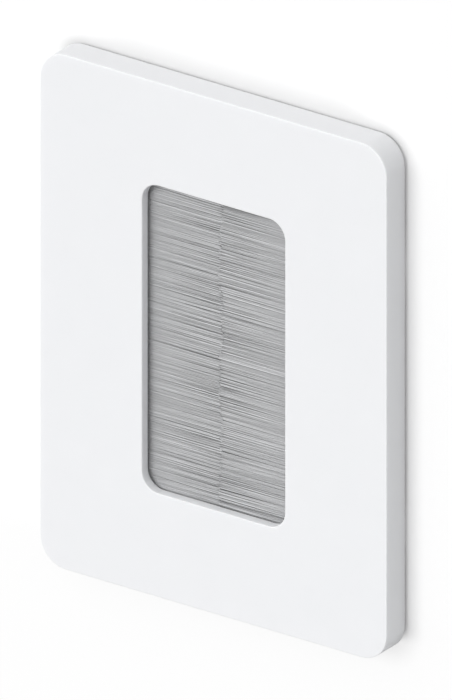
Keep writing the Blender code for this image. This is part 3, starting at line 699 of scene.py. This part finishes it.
def screw_mesh(name, head, shank, thread):
    """A pan-head screw along +Y, its head's underside at y = 0; head and shank are (diameter, length)."""
    head_radius, head_height = head[0] / 2, head[1]
    radius, length = shank[0] / 2, shank[1]
    depth, pitch = thread
    crown = []
    for share in CROWN_SHARES:
        crown.append((head_radius * share, -head_height * (1 - CROWN_DROP_SHARE * share**2)))
    corner = HEAD_CORNER_SHARE * head_height
    for step in range(HEAD_CORNER_STEPS + 1):
        turn = pi / 2 * step / HEAD_CORNER_STEPS
        across = head_radius - corner + corner * sin(turn)
        crown.append((across, -HEAD_SHOULDER_SHARE * head_height + corner * (1 - cos(turn))))
    chamfer = HEAD_CHAMFER_SHARE * head_height
    crown += [(head_radius, -chamfer), (head_radius - chamfer, 0.0), (radius - depth, 0.0)]
    rings = [[(across, y)] * SCREW_SEGMENTS for across, y in crown]
    turns = [2 * pi * step / SCREW_SEGMENTS for step in range(SCREW_SEGMENTS)]
    rows = round(length / pitch * RINGS_PER_TURN)
    tip = POINT_LENGTH_SHARE * pitch
    for row in range(1, rows + 1):
        y = length * row / rows
        runout = min(1.0, y / pitch)
        point = min(1.0, max(0.0, (length - y) / tip))
        ring = []
        for turn in turns:
            across = thread_radius(turn, y, radius, depth, pitch)
            across = (radius - depth) * (1 - runout) + across * runout
            ring.append((min(across, radius - depth * POINT_DEPTH_SHARE * (1 - point)), y))
        rings.append(ring)
    builder = bmesh.new()
    loops = []
    for ring in rings:
        loop = []
        for (across, y), turn in zip(ring, turns):
            loop.append(builder.verts.new((across * cos(turn), y, across * sin(turn))))
        loops.append(loop)
    top = builder.verts.new((0.0, -head_height, 0.0))
    end = builder.verts.new((0.0, length, 0.0))
    for loop, following in zip(loops, loops[1:]):
        for index in range(SCREW_SEGMENTS):
            after = (index + 1) % SCREW_SEGMENTS
            builder.faces.new((loop[index], loop[after], following[after], following[index]))
    for index in range(SCREW_SEGMENTS):
        after = (index + 1) % SCREW_SEGMENTS
        builder.faces.new((top, loops[0][after], loops[0][index]))
        builder.faces.new((end, loops[-1][index], loops[-1][after]))
    return closed_mesh(name, builder)


def tapered_slot(name, half_x, half_z, top, bottom):
    """A cutter for a drive slot, a little narrower at its floor."""
    builder = bmesh.new()
    corners = []
    for y, share in ((top, 1.0), (bottom, SLOT_FLOOR_SHARE)):
        x, z = half_x * share, half_z * share
        corners.append([builder.verts.new((u, y, v)) for u, v in ((-x, -z), (x, -z), (x, z), (-x, z))])
    upper, lower = corners
    builder.faces.new(upper)
    builder.faces.new(lower)
    for index in range(4):
        after = (index + 1) % 4
        builder.faces.new((upper[index], upper[after], lower[after], lower[index]))
    cutter = bpy.data.objects.new(name, closed_mesh(name, builder))
    bpy.context.scene.collection.objects.link(cutter)
    return cutter


def screw_master(name, head, shank, thread, slots, material):
    """One finished screw, kept only until its copies are made."""
    master = link_piece(name, screw_mesh(name, head, shank, thread), material)
    cutters = []
    for number, (half_x, half_z) in enumerate(slots):
        top, bottom = -SLOT_TOP_SHARE * head[1], -head[1] * SLOT_DEPTH_SHARE
        cutter = tapered_slot(f"{name}_slot_{number}", half_x, half_z, top, bottom)
        modifier = master.modifiers.new(f"Slot {number}", "BOOLEAN")
        modifier.operation = "DIFFERENCE"
        modifier.solver = "EXACT"
        modifier.object = cutter
        cutters.append(cutter)
    apply_modifiers(master)
    for cutter in cutters:
        bpy.data.objects.remove(cutter, do_unlink=True)
    master.data.shade_smooth()
    master.data.set_sharp_from_angle(angle=SMOOTH_ANGLE)
    return master


def screw_set(name, nodes, head_height, shank_diameter, thread, slots, turn, material):
    """Threaded screws in place of the plain ones, each with its head where its node has it."""
    low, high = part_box(nodes[0])
    head = (high.x - low.x, head_height)
    shank = (shank_diameter, high.y - low.y - head_height)
    master = screw_master(f"{name}_master", head, shank, thread, slots, material)
    places = bpy.data.meshes.new(name)
    centres = []
    for node in nodes:
        node_low, node_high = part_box(node)
        centre = (node_low + node_high) / 2
        centres.append((centre.x, node_low.y + head_height, centre.z))
    places.from_pydata(centres, [], [])
    piece = link_piece(name, places, material)
    modifier = piece.modifiers.new("Screw set", "NODES")
    modifier.node_group = screw_tree()
    set_inputs(modifier, {"Screw": master, "Turn": turn, "Seed": len(nodes), "Material": material})
    apply_modifiers(piece)
    bpy.data.objects.remove(master, do_unlink=True)
    fasten(piece, "screw_steel", *nodes)


def number_setting(name, text, default, **limits):
    return bpy.props.FloatProperty(name=name, description=text, default=default, **limits)


def length_setting(name, text, default, low=0.0):
    return number_setting(name, text, default, min=low, unit="LENGTH", subtype="DISTANCE", precision=5)


def share_setting(name, text, default):
    return number_setting(name, text, default, min=0.0, max=1.0, subtype="FACTOR")


def angle_setting(name, text, default):
    return number_setting(name, text, radians(default), subtype="ANGLE")


def count_setting(name, text, default, low):
    return bpy.props.IntProperty(name=name, description=text, default=default, min=low)


def colour_setting(name, text, default):
    return bpy.props.FloatVectorProperty(
        name=name, description=text, default=default, size=3, min=0.0, max=1.0, subtype="COLOR"
    )


class PlasticSettings(bpy.types.PropertyGroup):
    cover_colour: colour_setting("Cover", "Colour of the clip-on cover", (0.876, 0.884, 0.902))
    cover_roughness: share_setting("Cover roughness", "Roughness of the cover's etched surface", 0.46)
    sub_plate_colour: colour_setting("Sub-plate", "Colour of the hidden sub-plate", (0.8, 0.8, 0.79))
    sub_plate_roughness: share_setting("Sub-plate roughness", "Roughness of the sub-plate", 0.6)
    grain: length_setting("Grain", "Size of the tool's etched grain", 0.16 * MM)
    grain_height: length_setting("Grain height", "Height of the etched grain", 0.004 * MM)


class MetalSettings(bpy.types.PropertyGroup):
    sheet_colour: colour_setting(
        "Sheet", "Colour of the zinc-plated strap and channels", (0.62, 0.63, 0.64)
    )
    steel_colour: colour_setting("Screws", "Colour of the screws and core wires", (0.56, 0.57, 0.58))
    fibre_colour: colour_setting("Washers", "Colour of the fibre washers", (0.25, 0.22, 0.19))


class BristleSettings(bpy.types.PropertyGroup):
    colour: colour_setting("Nylon", "Colour of the bristles", (0.65, 0.655, 0.665))
    darkest: share_setting("Darkest", "Strength of the colour on the darkest bristles", 0.25)
    lightest: number_setting("Lightest", "Strength of the colour on the lightest bristles", 1.35, min=1.0)
    bristles: count_setting("Bristles", "Bristles in a row", 6800, 10)
    points: count_setting("Points", "Points along a bristle", 5, 2)
    sides: count_setting("Sides", "Sides of a bristle", 3, 3)
    diameter: length_setting("Diameter", "Diameter of a bristle", 0.15 * MM)
    seam_wave: length_setting("Seam wave", "How far the seam wanders to each side", 0.45 * MM)
    seam_wave_length: length_setting("Seam wave length", "Length of the seam's longest wave", 24 * MM)
    tip_gap: length_setting("Tip gap", "Half the gap between the two rows' longest tips", -0.3 * MM, -1.0)
    tip_scatter: length_setting(
        "Tip scatter", "How far the shortest bristles fall short of the seam", 0.8 * MM
    )
    clump_size: length_setting(
        "Clump size", "Length of row in which bristles gather to one clump", 0.55 * MM
    )
    clump_pull: length_setting("Clump pull", "How far the tips move to gather", 0.14 * MM)
    lean: length_setting("Lean", "How far whole groups of bristles lean up or down", 0.35 * MM)
    stray: length_setting("Stray", "How far single tips stray", 0.13 * MM)
    bow: length_setting("Bow", "How far single bristles bow", 0.05 * MM)
    parting_width: share_setting(
        "Parting width", "Half a dark parting's width as a share of the clump", 0.15
    )
    parting_evenness: number_setting(
        "Parting evenness", "1 for partings of every depth, more for few deep ones", 1.4
    )
    end_bundle: length_setting("End bundle", "Length of the closed bundle at a row's lower end", 2.5 * MM)


class ScrewSettings(bpy.types.PropertyGroup):
    box_head_height: length_setting("Box screw head", "Height of a box screw's head", 1.8 * MM)
    box_shank: length_setting("Box screw shank", "Diameter of a box screw's thread", 3.4 * MM)
    plate_head_height: length_setting("Plate screw head", "Height of a plate screw's head", 1.4 * MM)
    plate_shank: length_setting("Plate screw shank", "Diameter of a plate screw's thread", 3.4 * MM)
    brush_head_height: length_setting("Brush screw head", "Height of a brush screw's head", 1.3 * MM)
    brush_shank: length_setting("Brush screw shank", "Diameter of a brush screw's thread", 2.3 * MM)
    coarse_pitch: length_setting("Box and plate pitch", "Thread pitch, 32 turns to the inch", 0.794 * MM)
    fine_pitch: length_setting("Brush pitch", "Thread pitch of the brush screws", 0.45 * MM)
    slot_width: length_setting("Slot width", "Width of a drive slot", 1.0 * MM)
    cross_width: length_setting("Cross width", "Width of a cross slot", 0.7 * MM)


class StageSettings(bpy.types.PropertyGroup):
    azimuth: angle_setting("Azimuth", "How far the camera stands to the right of straight ahead", 35.07)
    elevation: angle_setting("Elevation", "How far the camera stands above the plate", 24.97)
    view_height: length_setting("View height", "Height of wall that the camera takes in", 136.2 * MM)
    shift_right: length_setting(
        "Aim right", "How far the aim lies to the right of the face's centre", 2.462 * MM, -1.0
    )
    shift_up: length_setting("Aim up", "How far the aim lies above the face's centre", 1.216 * MM, -1.0)
    distance: length_setting("Distance", "Distance from the camera to the plate", 0.6)
    wall_size: length_setting("Wall", "Width and height of the wall", 3.0)
    wall_gap: length_setting("Wall gap", "Distance from the plate's back to the wall's paint", 0.04 * MM)
    room_light: number_setting("Room light", "Strength of the even light", 0.615)
    room_rise: number_setting("Room rise", "How much lighter it is above", 0.36)
    room_lean: number_setting("Room lean", "How much lighter it is at the left", 0.05)
    key_light: number_setting("Key light", "Strength of the main light", 1.36)
    key_spread: angle_setting("Key spread", "Apparent size of the main light", 32)
    back_light: number_setting("Back light", "Light behind the wall", 1.6)
    back_spread: angle_setting("Back spread", "Apparent size of the light behind the wall", 50)


class PLATE_OT_cover(bpy.types.Operator):
    """Makes the clip-on cover"""

    bl_idname = "plate.cover"
    bl_label = "Clip-on cover"

    def execute(self, context):
        settings = context.scene.plate_plastic
        finish = moulded_plastic(
            "white_moulded_plastic",
            tuple(settings.cover_colour),
            settings.cover_roughness,
            settings.grain,
            settings.grain_height,
        )
        smooth_piece("cover", "cover_plate", finish, "cover_plastic")
        return {"FINISHED"}


class PLATE_OT_sub_plate(bpy.types.Operator):
    """Makes the sub-plate that the cover clips onto"""

    bl_idname = "plate.sub_plate"
    bl_label = "Sub-plate"

    def execute(self, context):
        settings = context.scene.plate_plastic
        finish = moulded_plastic(
            "plain_moulded_plastic",
            tuple(settings.sub_plate_colour),
            settings.sub_plate_roughness,
            2 * settings.grain,
            2 * settings.grain_height,
        )
        smooth_piece("carrier", "sub_plate", finish, "sub_plate_plastic")
        return {"FINISHED"}


class PLATE_OT_sheet_steel(bpy.types.Operator):
    """Makes the strap and the two folded brush channels"""

    bl_idname = "plate.sheet_steel"
    bl_label = "Strap and channels"

    def execute(self, context):
        finish = zinc_plated_sheet("zinc_plated_strip", tuple(context.scene.plate_metal.sheet_colour))
        smooth_piece("strap", "mounting_strap", finish, "zinc_plate")
        for side in ("left", "right"):
            smooth_piece(f"{side}_channel", f"{side}_brush_channel", finish, "zinc_plate")
        return {"FINISHED"}


class PLATE_OT_bristles(bpy.types.Operator):
    """Makes the two rows of loose bristles"""

    bl_idname = "plate.bristles"
    bl_label = "Bristles"

    def execute(self, context):
        settings = context.scene.plate_bristles
        finish = bristle_nylon(
            "grey_nylon_filament", tuple(settings.colour), (settings.darkest, settings.lightest)
        )
        tree = bristle_tree()
        channel_depth = CHANNEL_HIGH.y - CHANNEL_LOW.y
        mouth_half = channel_depth / 2 - CHANNEL_SHEET_SHARE * channel_depth
        shared = {name: getattr(settings, name.lower().replace(" ", "_")) for name in SHARED_INPUTS}
        shared |= {
            "Root X": ROW_HIGH.x,
            "Half Length": ROW_HIGH.z - settings.diameter,
            "Middle Y": (ROW_LOW.y + ROW_HIGH.y) / 2,
            "Half Thickness": mouth_half - settings.diameter / 2,
            "Tip Flare": (ROW_HIGH.y - ROW_LOW.y) / 2 - mouth_half,
            "Bristle Diameter": settings.diameter,
            "End Bundle": ROW_HIGH.z - settings.end_bundle,
            "Bristles": settings.bristles,
            "Points Along": settings.points,
            "Sides": settings.sides,
            "Material": finish,
        }
        for name, side in (("left", -1.0), ("right", 1.0)):
            piece = link_piece(f"{name}_bristles", bpy.data.meshes.new(f"{name}_bristles"), finish)
            modifier = piece.modifiers.new("Bristle row", "NODES")
            modifier.node_group = tree
            own = {"Side": side, "End Share": ROW_END_SHARES[name], "Seed": ROW_SEEDS[name]}
            set_inputs(modifier, {**shared, **own})
            apply_modifiers(piece)
            fasten(piece, "bristle_nylon", f"{name}_bristle_row")
        return {"FINISHED"}


class PLATE_OT_screws(bpy.types.Operator):
    """Makes the threaded screws and finishes the core wires"""

    bl_idname = "plate.screws"
    bl_label = "Screws and core wires"

    def execute(self, context):
        settings = context.scene.plate_screws
        finish = bright_steel("plated_screw_steel", tuple(context.scene.plate_metal.steel_colour))
        for side in ("left", "right"):
            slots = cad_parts[f"{side}_core_wire"].data.materials
            slots.clear()
            slots.append(finish)
        coarse = (THREAD_DEPTH_SHARE * settings.coarse_pitch, settings.coarse_pitch)
        fine = (THREAD_DEPTH_SHARE * settings.fine_pitch, settings.fine_pitch)
        long_slot = ((settings.slot_width / 2, SLOT_REACH),)
        cross_half = settings.cross_width / 2
        cross = ((cross_half, CROSS_REACH), (CROSS_REACH, cross_half))
        ends = ("upper", "lower")
        corners = ("upper_left", "upper_right", "lower_left", "lower_right")
        for kind, places, thread, drive, turn in (
            ("box", ends, coarse, long_slot, 0.0),
            ("plate", ends, coarse, long_slot, 0.0),
            ("brush", corners, fine, cross, pi / 4),
        ):
            screw_set(
                f"{kind}_screws",
                [f"{place}_{kind}_screw" for place in places],
                getattr(settings, f"{kind}_head_height"),
                getattr(settings, f"{kind}_shank"),
                thread,
                drive,
                turn,
                finish,
            )
        return {"FINISHED"}


class PLATE_OT_washers(bpy.types.Operator):
    """Makes the fibre washers that keep the box screws on the strap"""

    bl_idname = "plate.washers"
    bl_label = "Washers"

    def execute(self, context):
        finish = pressed_fibre("grey_pressed_fibre", tuple(context.scene.plate_metal.fibre_colour))
        for height in ("upper", "lower"):
            smooth_piece(f"{height}_washer", f"{height}_screw_washer", finish, "washer_fibre")
        return {"FINISHED"}


class PLATE_OT_stage(bpy.types.Operator):
    """Makes the wall, the lights and the camera"""

    bl_idname = "plate.stage"
    bl_label = "Wall, lights and camera"

    def execute(self, context):
        settings = context.scene.plate_stage
        self.make_wall(settings)
        self.make_world(context.scene, settings)
        self.make_lamp("key_lamp", KEY_LAMP_TOWARDS, settings.key_light, settings.key_spread)
        self.make_lamp("back_lamp", BACK_LAMP_TOWARDS, settings.back_light, settings.back_spread)
        self.make_camera(context.scene, settings)
        context.scene.view_settings.view_transform = "Standard"
        return {"FINISHED"}

    def make_wall(self, settings):
        half, y = settings.wall_size / 2, settings.wall_gap
        corners = [(-half, y, -half), (half, y, -half), (half, y, half), (-half, y, half)]
        mesh = bpy.data.meshes.new("wall_backdrop")
        mesh.from_pydata(corners, [], [(0, 1, 2, 3)])
        link_piece("wall_backdrop", mesh, wall_paint("white_wall_paint"))

    def make_world(self, scene, settings):
        world = bpy.data.worlds.new("Even room light")
        world.use_nodes = True
        scene.world = world
        graph = Graph(world.node_tree)
        background = world.node_tree.nodes["Background"]
        path = graph.node("ShaderNodeLightPath", output="Is Camera Ray")
        seen = path.at_least(graph.out(path, "Is Glossy Ray"))
        seen = seen.at_least(graph.out(path, "Is Transmission Ray"))
        towards = graph.node("ShaderNodeTexCoord", output="Generated")
        towards = graph.node("ShaderNodeSeparateXYZ", {}, {"Vector": towards})
        across, up = graph.out(towards, "X"), graph.out(towards, "Z")
        level = settings.room_light + settings.room_rise * up - settings.room_lean * across
        light = graph.mix(seen, graph.vector(level, level, level), grey(1.0))
        graph.tree.links.new(light.socket, background.inputs["Color"])

    def make_lamp(self, name, towards, strength, spread):
        lamp = bpy.data.lights.new(name, "SUN")
        lamp.energy = strength
        lamp.angle = spread
        holder = bpy.data.objects.new(name, lamp)
        holder.rotation_mode = "QUATERNION"
        holder.rotation_quaternion = Vector(towards).to_track_quat("Z", "Y")
        bpy.context.scene.collection.objects.link(holder)

    def make_camera(self, scene, settings):
        azimuth, elevation = settings.azimuth, settings.elevation
        back = Vector((sin(azimuth) * cos(elevation), -cos(azimuth) * cos(elevation), sin(elevation)))
        right = Vector((cos(azimuth), sin(azimuth), 0.0))
        up = back.cross(right)
        aim = Vector((0.0, FACE_Y, 0.0)) + right * settings.shift_right + up * settings.shift_up
        camera = bpy.data.cameras.new("photo_camera")
        camera.type = "ORTHO"
        camera.ortho_scale = settings.view_height
        holder = bpy.data.objects.new("photo_camera", camera)
        axes = Matrix((right, up, back)).transposed()
        holder.matrix_world = Matrix.Translation(aim + back * settings.distance) @ axes.to_4x4()
        scene.collection.objects.link(holder)
        scene.camera = holder


class PLATE_PT_sidebar(bpy.types.Panel):
    """Lists the plate's pieces and their settings"""

    bl_idname = "PLATE_PT_sidebar"
    bl_label = "Wall plate"
    bl_space_type = "VIEW_3D"
    bl_region_type = "UI"
    bl_category = "Wall plate"

    def draw(self, context):
        for settings_name, operators in PANEL_ROWS:
            box = self.layout.box()
            settings = getattr(context.scene, settings_name)
            for name in settings.bl_rna.properties.keys():
                if name not in ("rna_type", "name"):
                    box.prop(settings, name)
            for operator in operators:
                box.operator(operator)


SETTINGS = {
    "plate_plastic": PlasticSettings,
    "plate_metal": MetalSettings,
    "plate_bristles": BristleSettings,
    "plate_screws": ScrewSettings,
    "plate_stage": StageSettings,
}
PANEL_ROWS = (
    ("plate_plastic", ("plate.cover", "plate.sub_plate")),
    ("plate_metal", ("plate.sheet_steel", "plate.washers")),
    ("plate_bristles", ("plate.bristles",)),
    ("plate_screws", ("plate.screws",)),
    ("plate_stage", ("plate.stage",)),
)
OPERATORS = (
    PLATE_OT_cover,
    PLATE_OT_sub_plate,
    PLATE_OT_sheet_steel,
    PLATE_OT_bristles,
    PLATE_OT_screws,
    PLATE_OT_washers,
    PLATE_OT_stage,
)


def register():
    for name, settings in SETTINGS.items():
        bpy.utils.register_class(settings)
        setattr(bpy.types.Scene, name, bpy.props.PointerProperty(type=settings))
    for operator in OPERATORS:
        bpy.utils.register_class(operator)
    bpy.utils.register_class(PLATE_PT_sidebar)


def unregister():
    bpy.utils.unregister_class(PLATE_PT_sidebar)
    for operator in reversed(OPERATORS):
        bpy.utils.unregister_class(operator)
    for name, settings in SETTINGS.items():
        delattr(bpy.types.Scene, name)
        bpy.utils.unregister_class(settings)


def main():
    register()
    for operator in OPERATORS:
        family, name = operator.bl_idname.split(".")
        getattr(getattr(bpy.ops, family), name)()


if __name__ == "__main__":
    main()
